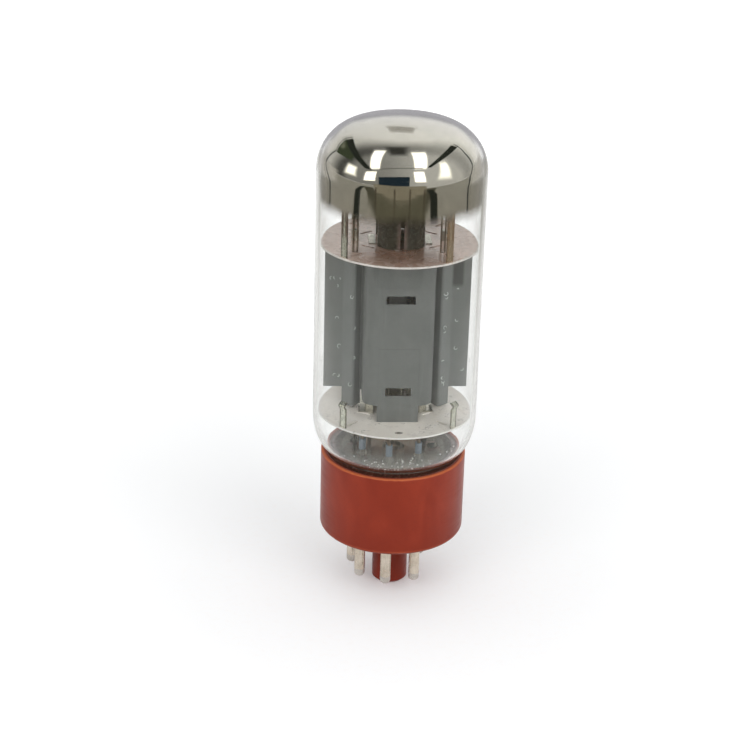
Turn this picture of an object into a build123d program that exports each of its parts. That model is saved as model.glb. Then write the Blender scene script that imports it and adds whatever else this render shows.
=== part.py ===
"""A glass beam power tube on an eight-position octal base, one pin left out.

Millimetres. Z is the tube's axis and z = 0 is the tip of the locating spigot. X runs along
the anode's wings, so the anode's two flat faces look along -Y (front) and +Y (rear).
Every piece is its own solid, written to parts/NAME.step.
"""

from build123d import *
import os
from math import asin, cos, pi, radians, sin

# ---- octal base --------------------------------------------------------------------------
BASE_R = 16.1
BASE_BOTTOM = 14.2
BASE_TOP = 32.85
BASE_WALL = 1.25
BASE_FLOOR = 2.4
SPIGOT_R = 3.965
SPIGOT_BORE_R = 3.0
SPIGOT_TIP_WALL = 1.4
SPIGOT_CHAMFER = 0.7
KEY_WIDTH = 2.2
KEY_REACH = 5.05
KEY_CHAMFER = 1.0
PIN_CIRCLE_R = 17.45 / 2
PIN_R = 2.36 / 2
PIN_BORE_R = 0.8
PIN_NECK_R = 1.0           # where the pin passes through the base
PIN_NECK_LENGTH = 0.15     # how much of the neck stays below the base
PIN_RECESS_R = 1.45        # shallow counterbore round each pin, in the base's underside
PIN_RECESS_DEPTH = 0.2
PIN_LENGTH = 11.1
PIN_TIP_LENGTH = 1.9
PIN_TIP_CORE_R = 0.98
PIN_HEAD_R = 1.75
PIN_HEAD_HEIGHT = 0.5
BASE_TURN = -10.0          # angle of pin 4 from the front, about the axis
PIN_STEP = 45.0
PIN_TIP_Z = BASE_BOTTOM - PIN_LENGTH
FLOOR_Z = BASE_BOTTOM + BASE_FLOOR
PINS = (1, 2, 3, 4, 5, 7, 8)

# ---- glass bulb: a straight wall, a domed top and a bowl that closes onto the stem ----------
BULB_R = 18.07
GLASS = 1.0
SHOULDER_Z = 97.75
SHOULDER_R = 10.3
CROWN_R = 41.8
BOWL_Z = 42.0
BOWL_RX = 5.0
BOWL_RZ = 9.0
FILM = 0.04                # getter film on the inside of the dome
FILM_EDGE_Z = 88.5
BULB_INNER_R = BULB_R - GLASS
SEAL_R = BULB_R - BOWL_RX
SEAL_BOTTOM = BOWL_Z - BOWL_RZ
SEAL_TOP = SEAL_BOTTOM + GLASS

# ---- glass stem ------------------------------------------------------------------------------
STEM_BOTTOM = 32.3
BEAD_R = 1.25
BEAD_TOP_R = 0.75
BEAD_HEIGHT = 1.1
EXHAUST_R = 2.5
EXHAUST_BORE_R = 1.6
EXHAUST_TIP_Z = 6.5

# ---- lead wires and sleeves --------------------------------------------------------------------
LEAD_R = 0.4
LEAD_BOTTOM = 6.0
LEAD_BEND_Z = 38.2
SLEEVE_R = 0.75
SLEEVE_LENGTH = 2.6
SLEEVED = (3, 4, 5, 7)

# ---- mica spacers ------------------------------------------------------------------------------
MICA = 0.4
MICA_R = 16.83
LOWER_MICA_Z = 43.1
UPPER_MICA_Z = 81.8
MICA_HOLE_GAP = 0.03
SLOT_WIDTH = 0.7
SLOT_INNER_R = 11.9
SLOT_OUTER_R = 14.9
CUT_LENGTH = 3.2
CUT_WIDTH = 0.6
CUT_X = 7.0
CUT_Y = 4.4
CUT_TURN = 35.0
VENT_Y = 14.4
LOWER_MICA_TOP = LOWER_MICA_Z + MICA
UPPER_MICA_TOP = UPPER_MICA_Z + MICA

# ---- mica springs --------------------------------------------------------------------------------
SPRING_WIDTH = 1.7
SPRING_SHEET = 0.2
SPRING_R = 16.35
SPRING_TOUCH_R = BULB_INNER_R - 0.05
LOWER_SPRING_RISE = 5.9
UPPER_SPRING_RISE = 12.4
SLOT_ANGLES = (45.0, 135.0, 225.0, 315.0)
LOWER_SPRINGS = {"front_left": 225.0, "front_right": 315.0, "rear_right": 45.0, "rear_left": 135.0}
UPPER_SPRINGS = {"front_left": 222.8, "front_right": 304.0, "rear_right": 42.8, "rear_left": 124.0}

# ---- anode: two pressed halves that meet on the plane y = 0 -----------------------------------------
SHEET = 0.25
WING_X = 15.85
RIB_OUT_X = 11.75
RIB_CREST_X = 9.4
RIB_CREST_Y = 1.9
RIB_IN_X = 8.05
WALL_X = 7.35
FACE_Y = 8.82
FACE_CORNER_R = 2.9
ANODE_TOP = UPPER_MICA_Z - 0.15
WING_BOTTOM = 48.1
BOX_BOTTOM = 47.4
RIB_BOTTOM = 44.0
TAB_X = 4.45
TAB_BOTTOM = LOWER_MICA_TOP
WINDOWS = {"upper": (6.1, 71.8), "lower": (5.5, 50.6)}
WINDOW_HEIGHT = 1.85
ROD_X = 9.55
ROD_R = 0.8
ROD_BOTTOM = 41.2
ROD_TOP = 84.4

# ---- electrodes inside the anode ---------------------------------------------------------------------
BEAM_SHEET = 0.2
BEAM_X = 6.6
BEAM_LIP_X = 5.0
BEAM_LIP_Y = 4.6
BEAM_FOOT_X = 8.1
BEAM_FOOT_Y = 3.8
BEAM_EAR_X = 5.35
BEAM_EAR_Y = 2.8
SCREEN_X = 4.4
SCREEN_HALF = 2.2
CONTROL_X = 3.0
CONTROL_HALF = 1.15
POST_R = 0.45
POST_BOTTOM = 41.4
SCREEN_TOP = 83.6
CONTROL_TOP = 89.5
TURN_PITCH = 2.7
TURN_BOTTOM = 46.0
TURNS = 13
SCREEN_WIRE_R = 0.08
CONTROL_WIRE_R = 0.06
CATHODE_WIDTH = 3.9
CATHODE_DEPTH = 1.5
CATHODE_SHEET = 0.08
CATHODE_BOTTOM = 41.9
CATHODE_TOP = 83.2
COAT = 0.06
COAT_BOTTOM = 48.0
COAT_TOP = 78.0
HEATER_R = 0.17
HEATER_X = 1.2
HEATER_TOP = 81.0
HEATER_BOTTOM = 39.6

# ---- above the upper mica ---------------------------------------------------------------------------------
FIN_SHEET = 0.25
FIN_X = 4.85
FIN_Y = 6.9
FIN_GAP_X = 0.4
FIN_BOTTOM = UPPER_MICA_TOP + 0.15
FIN_TOP = 90.6
STAYS = {"left": -9.7, "right": 8.4}
STAY_Y = -7.7
STAY_R = 0.2
STAY_SPACING = 0.85
STAY_TOP = 93.6
STAY_FOOT = 1.6
GETTER_RING_R = 3.0
GETTER_SIZE = 1.1
GETTER_SHEET = 0.2


def polar(radius, degrees, z=0.0):
    """A point at this radius and angle, counted from +X."""
    return (radius * cos(radians(degrees)), radius * sin(radians(degrees)), z)


def pin_point(number, z=0.0):
    """Centre of a base pin. Numbers run clockwise as seen from underneath."""
    return polar(PIN_CIRCLE_R, -90 + BASE_TURN + (number - 4) * PIN_STEP, z)


def tube(outer_r, inner_r, bottom, top):
    ring = Circle(outer_r) - Circle(inner_r) if inner_r else Circle(outer_r)
    return extrude(Pos(0, 0, bottom) * ring, top - bottom)


def rod(x, y, radius, bottom, top):
    return Pos(x, y, 0) * tube(radius, 0, bottom, top)


def spin(*edges):
    """The solid that a closed outline, drawn as x = radius and y = height, sweeps about Z."""
    return revolve(Plane.XZ * make_face(edges), Axis.Z)


def wire_along(points, bend_r, wire_r):
    """A round wire through these points, with its corners rounded."""
    path = FilletPolyline(*points, radius=bend_r) if len(points) > 2 else Line(*points)
    return sweep(Plane(origin=path @ 0, z_dir=path % 0) * Circle(wire_r), path=path)


def sheet_profile(points, bend_r, thickness, bottom, top):
    """Sheet metal: a bent strip seen from above, raised from bottom to top."""
    path = FilletPolyline(*points, radius=bend_r)
    return extrude(Pos(0, 0, bottom) * trace(path, thickness), top - bottom)


def box_between(low, high):
    size = [h - l for l, h in zip(low, high)]
    centre = [(h + l) / 2 for l, h in zip(low, high)]
    return Pos(*centre) * Box(*size)


def both_sides(outline):
    """Points from the left end to the right end of a shape that mirrors about x = 0."""
    return [(-x, y) for x, y in outline] + [(x, y) for x, y in reversed(outline)]


# ---- base -------------------------------------------------------------------------------------------------

def base_shell():
    cup = tube(BASE_R, 0, BASE_BOTTOM, BASE_TOP)
    cup = fillet(cup.edges().group_by(Axis.Z)[0], 0.9)
    cup -= tube(BASE_R - BASE_WALL, 0, FLOOR_Z, BASE_TOP)
    rims = cup.edges().group_by(Axis.Z)[-1]
    cup = fillet(rims, 0.35)
    spigot = tube(SPIGOT_R, 0, 0, FLOOR_Z)
    spigot = chamfer(spigot.edges().group_by(Axis.Z)[0], SPIGOT_CHAMFER)
    key_low = (0, -KEY_WIDTH / 2, SPIGOT_CHAMFER)
    key = box_between(key_low, (KEY_REACH, KEY_WIDTH / 2, BASE_BOTTOM + 0.5))
    key_tip = key.edges().filter_by(Axis.Y).sort_by(Axis.Z)[0:2].sort_by(Axis.X)[-1]
    key = chamfer(key_tip, KEY_CHAMFER)
    key_angle = -90 + BASE_TURN + PIN_STEP * -3.5
    shell = cup + Rot(0, 0, key_angle) * (spigot + key)
    shell -= tube(SPIGOT_BORE_R, 0, SPIGOT_TIP_WALL, BASE_TOP)
    for number in PINS:
        x, y, _ = pin_point(number)
        shell -= rod(x, y, PIN_NECK_R, BASE_BOTTOM - 1, FLOOR_Z + 1)
        shell -= rod(x, y, PIN_RECESS_R, BASE_BOTTOM - 1, BASE_BOTTOM + PIN_RECESS_DEPTH)
    return shell


def contact_pin(number):
    """A hollow pin: swaged head inside the base, waisted tip that the solder covers."""
    x, y, _ = pin_point(number)
    waist_top = PIN_TIP_Z + PIN_TIP_LENGTH
    neck_bottom = BASE_BOTTOM - PIN_NECK_LENGTH
    pin = tube(PIN_R, PIN_BORE_R, waist_top, neck_bottom)
    pin += tube(PIN_NECK_R, PIN_BORE_R, neck_bottom, FLOOR_Z)
    pin += tube(PIN_HEAD_R, PIN_BORE_R, FLOOR_Z, FLOOR_Z + PIN_HEAD_HEIGHT)
    pin += tube(PIN_TIP_CORE_R, PIN_BORE_R, PIN_TIP_Z + 0.6, waist_top)
    return Pos(x, y, 0) * pin


def pin_solder():
    """Seven separate rounded solder tips, each filling the end of its pin."""
    waist_top = PIN_TIP_Z + PIN_TIP_LENGTH
    tip = tube(PIN_R, 0, PIN_TIP_Z, waist_top)
    tip = fillet(tip.edges().group_by(Axis.Z)[0], 0.85)
    tip -= tube(PIN_TIP_CORE_R, PIN_BORE_R, PIN_TIP_Z + 0.6, waist_top)
    tip += tube(PIN_BORE_R, 0, PIN_TIP_Z + 1, LEAD_BOTTOM)
    return Compound([Pos(*pin_point(number)) * tip.solid() for number in PINS])


def base_cement():
    """The ring of cement that bonds the bulb's bowl into the cup."""
    outer_r = BASE_R - BASE_WALL
    ring = tube(outer_r, SEAL_R - 1.4, SEAL_BOTTOM - 3.4, BASE_TOP - 0.2)
    return ring - bulb_solid(0) - glass_stem_blank()


# ---- glass ------------------------------------------------------------------------------------------------

def bulb_edges(inset):
    """The bulb's outline from the seal to the crown, moved inwards by the inset."""
    radius = BULB_R - inset
    shoulder_r = SHOULDER_R - inset
    crown_r = CROWN_R - inset
    turn_x = BULB_R - SHOULDER_R
    slope = asin(turn_x / (CROWN_R - SHOULDER_R))
    crown_centre_z = SHOULDER_Z - (CROWN_R - SHOULDER_R) * cos(slope)

    def on_shoulder(angle):
        return (turn_x + shoulder_r * sin(angle), SHOULDER_Z + shoulder_r * cos(angle))

    def on_crown(angle):
        return (crown_r * sin(angle), crown_centre_z + crown_r * cos(angle))

    bowl = EllipticalCenterArc((SEAL_R, BOWL_Z), BOWL_RX - inset, BOWL_RZ - inset, 270, arc_size=90)
    wall = Line((radius, BOWL_Z), (radius, SHOULDER_Z))
    halfway = (slope + pi / 2) / 2
    shoulder = ThreePointArc((radius, SHOULDER_Z), on_shoulder(halfway), on_shoulder(slope))
    crown = ThreePointArc(on_shoulder(slope), on_crown(slope / 2), on_crown(0))
    return [bowl, wall, shoulder, crown], on_crown(0)


def bulb_solid(inset):
    """The bulb as if it were solid glass, closed flat at the seal."""
    edges, top = bulb_edges(inset)
    bottom = (SEAL_R, SEAL_BOTTOM + inset)
    closing = [Line(top, (0, bottom[1])), Line((0, bottom[1]), bottom)]
    return spin(*edges, *closing)


def glass_bulb():
    bulb = bulb_solid(0) - bulb_solid(GLASS)
    return bulb - tube(SEAL_R, 0, SEAL_BOTTOM - 1, SEAL_TOP + 0.01)


def getter_mirror():
    """The silvery film, exaggerated to a thickness that can be built."""
    film = bulb_solid(GLASS) - bulb_solid(GLASS + FILM)
    return film - tube(BULB_R, 0, 0, FILM_EDGE_Z)


def glass_stem_blank():
    """The button that closes the bulb, with its tubulation, before the leads pass through."""
    button = tube(SEAL_R, 0, STEM_BOTTOM, SEAL_TOP)
    exhaust = tube(EXHAUST_R, 0, EXHAUST_TIP_Z, STEM_BOTTOM)
    exhaust = fillet(exhaust.edges().group_by(Axis.Z)[0], EXHAUST_R * 0.9)
    stem = button + exhaust
    bead = Cone(BEAD_R, BEAD_TOP_R, BEAD_HEIGHT, align=(Align.CENTER, Align.CENTER, Align.MIN))
    for number in range(1, 9):
        stem += Pos(*pin_point(number, SEAL_TOP)) * bead
    return stem


def glass_stem():
    stem = glass_stem_blank()
    stem -= tube(EXHAUST_BORE_R, 0, EXHAUST_TIP_Z + 2.2, SEAL_TOP)
    for number in PINS:
        x, y, _ = pin_point(number)
        stem -= rod(x, y, LEAD_R, STEM_BOTTOM - 1, SEAL_TOP + BEAD_HEIGHT + 1)
    return stem


# ---- leads ------------------------------------------------------------------------------------------------

def lead(number, ends):
    """A lead from inside its pin, up through the stem and over to what it feeds."""
    start = pin_point(number, LEAD_BOTTOM)
    bend = pin_point(number, LEAD_BEND_Z)
    return wire_along([start, bend, *ends], 0.8, LEAD_R)


def lead_sleeves():
    """Insulating sleeves on four of the leads, just above the stem."""
    bottom = SEAL_TOP + BEAD_HEIGHT + 0.05
    sleeve = tube(SLEEVE_R, LEAD_R, bottom, bottom + SLEEVE_LENGTH)
    return Compound([Pos(*pin_point(number)) * sleeve.solid() for number in SLEEVED])


# ---- mica -------------------------------------------------------------------------------------------------

def mica_blank(bottom):
    return tube(MICA_R, 0, bottom, bottom + MICA)


def mica_holes(bottom):
    """Every hole that both spacers share, as one cutting solid."""
    low = bottom - 1
    high = bottom + MICA + 1
    cutters = []
    for side in (-1, 1):
        for x, radius in ((ROD_X, ROD_R), (SCREEN_X, POST_R), (CONTROL_X, POST_R)):
            cutters.append(rod(side * x, 0, radius + MICA_HOLE_GAP, low, high))
        for end in (-1, 1):
            place = Pos(side * CUT_X, end * CUT_Y, low) * Rot(0, 0, -side * end * CUT_TURN)
            cutters.append(extrude(place * SlotOverall(CUT_LENGTH, CUT_WIDTH), high - low))
    for angle in SLOT_ANGLES:
        middle = (SLOT_INNER_R + SLOT_OUTER_R) / 2
        length = SLOT_OUTER_R - SLOT_INNER_R
        place = Rot(0, 0, angle) * Pos(middle, 0, low)
        cutters.append(extrude(place * SlotOverall(length, SLOT_WIDTH), high - low))
        notch = Pos(SPRING_R, 0, (low + high) / 2)
        across = SPRING_WIDTH + 2 * MICA_HOLE_GAP
        deep = SPRING_SHEET + 2 * MICA_HOLE_GAP
        cutters.append(Rot(0, 0, angle) * notch * Box(deep, across, high - low))
    sleeve = SlotOverall(CATHODE_WIDTH + MICA_HOLE_GAP, CATHODE_DEPTH + MICA_HOLE_GAP)
    cutters.append(extrude(Pos(0, 0, low) * sleeve, high - low))
    return cutters


def lower_mica():
    plate = mica_blank(LOWER_MICA_Z)
    for cutter in mica_holes(LOWER_MICA_Z):
        plate -= cutter
    vent = Pos(0, -VENT_Y, LOWER_MICA_Z - 1) * SlotOverall(1.5, 0.9)
    return plate - extrude(vent, MICA + 2)


def upper_mica():
    plate = mica_blank(UPPER_MICA_Z)
    for cutter in mica_holes(UPPER_MICA_Z):
        plate -= cutter
    ear_half = BEAM_EAR_Y + MICA_HOLE_GAP
    for side in (-1, 1):
        near = side * (BEAM_X - BEAM_SHEET / 2 - MICA_HOLE_GAP)
        far = side * (BEAM_X + BEAM_SHEET / 2 + MICA_HOLE_GAP)
        low = (min(near, far), -ear_half, UPPER_MICA_Z - 1)
        high = (max(near, far), ear_half, UPPER_MICA_TOP + 1)
        plate -= box_between(low, high)
    stay = 2 * STAY_R + 2 * MICA_HOLE_GAP
    slot = SlotOverall(STAY_SPACING + stay, stay)
    for x in STAYS.values():
        plate -= extrude(Pos(x, STAY_Y, UPPER_MICA_Z - 1) * slot, MICA + 2)
    return plate


def mica_spring(angle, mica_z, rise):
    """A springy strip: foot under the mica, upright through the rim, top bent to the glass."""
    foot_z = mica_z - SPRING_SHEET / 2
    top = mica_z + MICA + rise
    path = FilletPolyline(
        (SLOT_OUTER_R - 2.6, 0, foot_z),
        (SPRING_R, 0, foot_z),
        (SPRING_R, 0, top - 1.6),
        (SPRING_TOUCH_R - SPRING_SHEET / 2, 0, top - 0.7),
        (SPRING_R - 0.3, 0, top),
        radius=(SPRING_SHEET * 0.6, 0.5, 0.3),
    )
    section = Plane(origin=path @ 0, x_dir=(0, 1, 0), z_dir=path % 0)
    strip = sweep(section * Rectangle(SPRING_WIDTH, SPRING_SHEET), path=path)
    return Rot(0, 0, angle) * strip


# ---- anode ------------------------------------------------------------------------------------------------

def anode_half(front):
    """One pressed half: wings, ribs and a flat-faced box, with a tab that stands on the mica."""
    seam = SHEET / 2
    outline = both_sides([
        (WING_X, -seam),
        (RIB_OUT_X, -seam),
        (RIB_CREST_X, -RIB_CREST_Y),
        (RIB_IN_X, -seam),
        (WALL_X, -seam),
        (WALL_X, -FACE_Y),
    ])
    bends = [0.9, 0.45, 0.25, 0.15, FACE_CORNER_R]
    path = FilletPolyline(*outline, radius=bends + bends[::-1])
    height = ANODE_TOP - TAB_BOTTOM
    half = extrude(Pos(0, 0, TAB_BOTTOM) * trace(path, SHEET), height)
    deep = FACE_Y + 1
    rib_edge = (RIB_IN_X + WALL_X) / 2
    for side in (-1, 1):
        cuts = [
            (RIB_OUT_X, WING_X + 1, WING_BOTTOM),
            (rib_edge, RIB_OUT_X, RIB_BOTTOM),
            (TAB_X, rib_edge, BOX_BOTTOM),
        ]
        for near, far, top in cuts:
            low_x, high_x = sorted((side * near, side * far))
            half -= box_between((low_x, -deep, TAB_BOTTOM - 1), (high_x, 1, top))
    for width, centre_z in WINDOWS.values():
        half -= Pos(0, -FACE_Y, centre_z) * Box(width, 2, WINDOW_HEIGHT)
    return half if front else Rot(0, 0, 180) * half


def anode_rod(side):
    return rod(side * ROD_X, 0, ROD_R, ROD_BOTTOM, ROD_TOP)


# ---- inner electrodes -------------------------------------------------------------------------------------

def beam_plate(side):
    """A channel at the end of the grids, with a foot on one mica and an ear over the other."""
    foot_top = LOWER_MICA_TOP + BEAM_SHEET
    half = BEAM_SHEET / 2
    outline = [
        (BEAM_LIP_X, -BEAM_LIP_Y),
        (BEAM_X, -BEAM_LIP_Y + 1.3),
        (BEAM_X, BEAM_LIP_Y - 1.3),
        (BEAM_LIP_X, BEAM_LIP_Y),
    ]
    plate = sheet_profile(outline, 0.8, BEAM_SHEET, LOWER_MICA_TOP, ANODE_TOP - 0.1)
    foot_low = (BEAM_X - half, -BEAM_FOOT_Y, LOWER_MICA_TOP)
    plate += box_between(foot_low, (BEAM_FOOT_X, BEAM_FOOT_Y, foot_top))
    neck_low = (BEAM_X - half, -BEAM_EAR_Y, ANODE_TOP - 1)
    ear_top = UPPER_MICA_TOP + BEAM_SHEET
    plate += box_between(neck_low, (BEAM_X + half, BEAM_EAR_Y, ear_top))
    ear_low = (BEAM_EAR_X, -BEAM_EAR_Y, UPPER_MICA_TOP)
    plate += box_between(ear_low, (BEAM_X + half, BEAM_EAR_Y, ear_top))
    return plate if side > 0 else Rot(0, 0, 180) * plate


def grid_post(x, top):
    return rod(x, 0, POST_R, POST_BOTTOM, top)


def grid_winding(post_x, half_depth, wire_r):
    """Flattened turns of fine wire around two posts: closed, and fewer than a real grid has."""
    reach = post_x + POST_R + wire_r + 0.01
    half_span = reach - half_depth
    turn = Wire([
        Line((-half_span, -half_depth), (half_span, -half_depth)),
        ThreePointArc((half_span, -half_depth), (reach, 0), (half_span, half_depth)),
        Line((half_span, half_depth), (-half_span, half_depth)),
        ThreePointArc((-half_span, half_depth), (-reach, 0), (-half_span, -half_depth)),
    ])
    section = Plane(origin=turn @ 0, z_dir=turn % 0) * Circle(wire_r)
    loop = sweep(section, path=turn).solid()
    return Compound([Pos(0, 0, TURN_BOTTOM + i * TURN_PITCH) * loop for i in range(TURNS)])


def flat_tube(width, depth, thickness, bottom, top):
    ring = SlotOverall(width, depth) - SlotOverall(width - 2 * thickness, depth - 2 * thickness)
    return extrude(Pos(0, 0, bottom) * ring, top - bottom)


def cathode_sleeve():
    return flat_tube(CATHODE_WIDTH, CATHODE_DEPTH, CATHODE_SHEET, CATHODE_BOTTOM, CATHODE_TOP)


def cathode_coating():
    width = CATHODE_WIDTH + 2 * COAT
    return flat_tube(width, CATHODE_DEPTH + 2 * COAT, COAT, COAT_BOTTOM, COAT_TOP)


def heater():
    """A coated wire folded up and down inside the cathode, both ends leaving at the bottom."""
    step = HEATER_X * 2 / 3
    low = CATHODE_BOTTOM + 1
    xs = [-HEATER_X + step * i for i in range(4)]
    points = [
        (xs[0], 0, HEATER_BOTTOM), (xs[0], 0, HEATER_TOP),
        (xs[1], 0, HEATER_TOP), (xs[1], 0, low),
        (xs[2], 0, low), (xs[2], 0, HEATER_TOP),
        (xs[3], 0, HEATER_TOP), (xs[3], 0, HEATER_BOTTOM),
    ]
    return wire_along(points, step * 0.45, HEATER_R)


def cathode_strap():
    """The ribbon that joins the cathode sleeve to its lead."""
    near = CATHODE_DEPTH / 2
    low = (-0.6, near, CATHODE_BOTTOM + 0.05)
    return box_between(low, (0.6, near + 0.15, LOWER_MICA_Z - 0.05))


# ---- above the upper mica ---------------------------------------------------------------------------------

def grid_radiator(side):
    """A blackened fin welded to a control-grid post, curving round to the middle at each end."""
    touch = CONTROL_X + POST_R + FIN_SHEET / 2
    outline = [
        (FIN_GAP_X, -FIN_Y), (FIN_X - 1.6, -FIN_Y + 0.7), (FIN_X, -FIN_Y + 2.4), (FIN_X, -3.0),
        (touch, -1.1), (touch, 1.1),
        (FIN_X, 3.0), (FIN_X, FIN_Y - 2.4), (FIN_X - 1.6, FIN_Y - 0.7), (FIN_GAP_X, FIN_Y),
    ]
    bends = [1.6, 1.2, 0.5, 0.4, 0.4, 0.5, 1.2, 1.6]
    fin = sheet_profile(outline, bends, FIN_SHEET, FIN_BOTTOM, FIN_TOP)
    return fin if side > 0 else Rot(0, 0, 180) * fin


def getter_stay(x):
    """A hairpin of fine wire standing in the mica, its two feet bent flat beneath it."""
    half = STAY_SPACING / 2
    foot_z = UPPER_MICA_Z - STAY_R
    points = [
        (x - half, STAY_Y + STAY_FOOT, foot_z), (x - half, STAY_Y, foot_z),
        (x - half, STAY_Y, STAY_TOP), (x + half, STAY_Y, STAY_TOP),
        (x + half, STAY_Y, foot_z), (x + half, STAY_Y + STAY_FOOT, foot_z),
    ]
    return wire_along(points, [0.25, 0.4, 0.4, 0.25], STAY_R)


def getter_ring(x):
    """An open-topped ring channel that held the getter metal."""
    outer = GETTER_RING_R + GETTER_SIZE / 2
    inner = GETTER_RING_R - GETTER_SIZE / 2
    bottom = STAY_TOP + STAY_R
    ring = tube(outer, inner, bottom, bottom + GETTER_SIZE)
    ring -= tube(outer - GETTER_SHEET, inner + GETTER_SHEET, bottom + GETTER_SHEET, bottom + 2)
    return Pos(x, STAY_Y + GETTER_RING_R, 0) * ring


def getter_charge(x):
    """The fired getter metal left in the channel."""
    outer = GETTER_RING_R + GETTER_SIZE / 2 - GETTER_SHEET
    inner = GETTER_RING_R - GETTER_SIZE / 2 + GETTER_SHEET
    bottom = STAY_TOP + STAY_R + GETTER_SHEET
    return Pos(x, STAY_Y + GETTER_RING_R, 0) * tube(outer, inner, bottom, bottom + 0.5)


# ---- assembly ---------------------------------------------------------------------------------------------

LEAD_ENDS = {
    "heater_a": (2, [(-HEATER_X, LEAD_R + HEATER_R, HEATER_BOTTOM + 0.3)]),
    "heater_b": (7, [(HEATER_X, LEAD_R + HEATER_R, HEATER_BOTTOM + 0.3)]),
    "anode": (3, [(-ROD_X + 0.3, -ROD_R - LEAD_R - 0.1, ROD_BOTTOM + 0.6)]),
    "screen_grid": (4, [(-SCREEN_X, -POST_R - LEAD_R - 0.1, POST_BOTTOM + 0.5)]),
    "control_grid": (5, [(CONTROL_X, -POST_R - LEAD_R - 0.1, POST_BOTTOM + 0.5)]),
    "cathode": (8, [(0, CATHODE_DEPTH / 2 + 0.15 + LEAD_R + 0.1, CATHODE_BOTTOM + 0.3)]),
    "unused": (1, []),
}


def build():
    parts = {
        "base_shell": base_shell(),
        "pin_solder": pin_solder(),
        "base_cement": base_cement(),
        "glass_bulb": glass_bulb(),
        "glass_stem": glass_stem(),
        "getter_mirror": getter_mirror(),
        "lead_sleeves": lead_sleeves(),
        "lower_mica": lower_mica(),
        "upper_mica": upper_mica(),
        "anode_front_half": anode_half(True),
        "anode_rear_half": anode_half(False),
        "screen_grid_winding": grid_winding(SCREEN_X, SCREEN_HALF, SCREEN_WIRE_R),
        "control_grid_winding": grid_winding(CONTROL_X, CONTROL_HALF, CONTROL_WIRE_R),
        "cathode_sleeve": cathode_sleeve(),
        "cathode_coating": cathode_coating(),
        "cathode_strap": cathode_strap(),
        "heater": heater(),
    }
    for number in PINS:
        parts[f"contact_pin_{number}"] = contact_pin(number)
    for name, (number, ends) in LEAD_ENDS.items():
        parts[f"lead_{name}"] = lead(number, ends)
    for name, side in (("left", -1), ("right", 1)):
        parts[f"anode_rod_{name}"] = anode_rod(side)
        parts[f"beam_plate_{name}"] = beam_plate(side)
        parts[f"screen_grid_post_{name}"] = grid_post(side * SCREEN_X, SCREEN_TOP)
        parts[f"control_grid_post_{name}"] = grid_post(side * CONTROL_X, CONTROL_TOP)
        parts[f"grid_radiator_{name}"] = grid_radiator(side)
    for name, x in STAYS.items():
        parts[f"getter_stay_{name}"] = getter_stay(x)
        parts[f"getter_ring_{name}"] = getter_ring(x)
        parts[f"getter_charge_{name}"] = getter_charge(x)
    for place, angle in LOWER_SPRINGS.items():
        parts[f"lower_spring_{place}"] = mica_spring(angle, LOWER_MICA_Z, LOWER_SPRING_RISE)
    for place, angle in UPPER_SPRINGS.items():
        parts[f"upper_spring_{place}"] = mica_spring(angle, UPPER_MICA_Z, UPPER_SPRING_RISE)
    return parts


os.makedirs("parts", exist_ok=True)
for name, shape in build().items():
    export_step(shape, f"parts/{name}.step")
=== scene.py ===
from math import asin, cos, pi, radians, sin
import random

import bpy
from mathutils import Matrix, Vector


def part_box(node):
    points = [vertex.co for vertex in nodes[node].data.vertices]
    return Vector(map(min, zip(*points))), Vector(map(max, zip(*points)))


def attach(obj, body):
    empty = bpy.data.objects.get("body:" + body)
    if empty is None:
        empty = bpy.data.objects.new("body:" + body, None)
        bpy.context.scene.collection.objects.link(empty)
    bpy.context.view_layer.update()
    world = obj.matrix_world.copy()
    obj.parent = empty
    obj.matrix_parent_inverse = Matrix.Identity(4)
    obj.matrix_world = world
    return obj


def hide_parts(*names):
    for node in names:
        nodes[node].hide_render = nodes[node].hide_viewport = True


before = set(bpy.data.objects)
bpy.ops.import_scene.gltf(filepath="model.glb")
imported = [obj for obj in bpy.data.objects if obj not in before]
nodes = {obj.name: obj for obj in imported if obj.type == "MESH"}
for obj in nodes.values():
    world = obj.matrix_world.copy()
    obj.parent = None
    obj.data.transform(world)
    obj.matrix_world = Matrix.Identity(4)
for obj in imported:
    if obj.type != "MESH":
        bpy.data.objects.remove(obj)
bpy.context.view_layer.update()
MM = 0.001

# ---- sizes of the CAD, in millimetres, which the smooth glass and the paint follow ----
BULB_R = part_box("glass_bulb")[1].x / MM
BULB_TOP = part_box("glass_bulb")[1].z / MM
SEAL_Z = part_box("glass_bulb")[0].z / MM
BASE_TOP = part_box("base_shell")[1].z / MM
BASE_BOTTOM = 14.2
FILM_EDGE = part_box("getter_mirror")[0].z / MM
GLASS = 1.0
SHOULDER_Z = 97.75
SHOULDER_R = 10.3
CROWN_R = 41.8
BOWL_Z = 42.0
BOWL_RX = 5.0
BOWL_RZ = BOWL_Z - SEAL_Z
FILM_GAP = 0.03          # between the bulb's inner wall and the getter film
VENT_Y = 14.4            # the lower mica's vent, in front of the axis
MICA_SPLIT_R = 16.85     # about where the micas' rims begin to whiten
PANEL_TOP = 60.6         # pressed panel in the anode's front face
PANEL_HALF = 4.3
SHADOW_PATCH_X = 12.85         # painted shadow patch at the right wing's upper edge
SHADOW_PATCH_Z = 71.3


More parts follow.
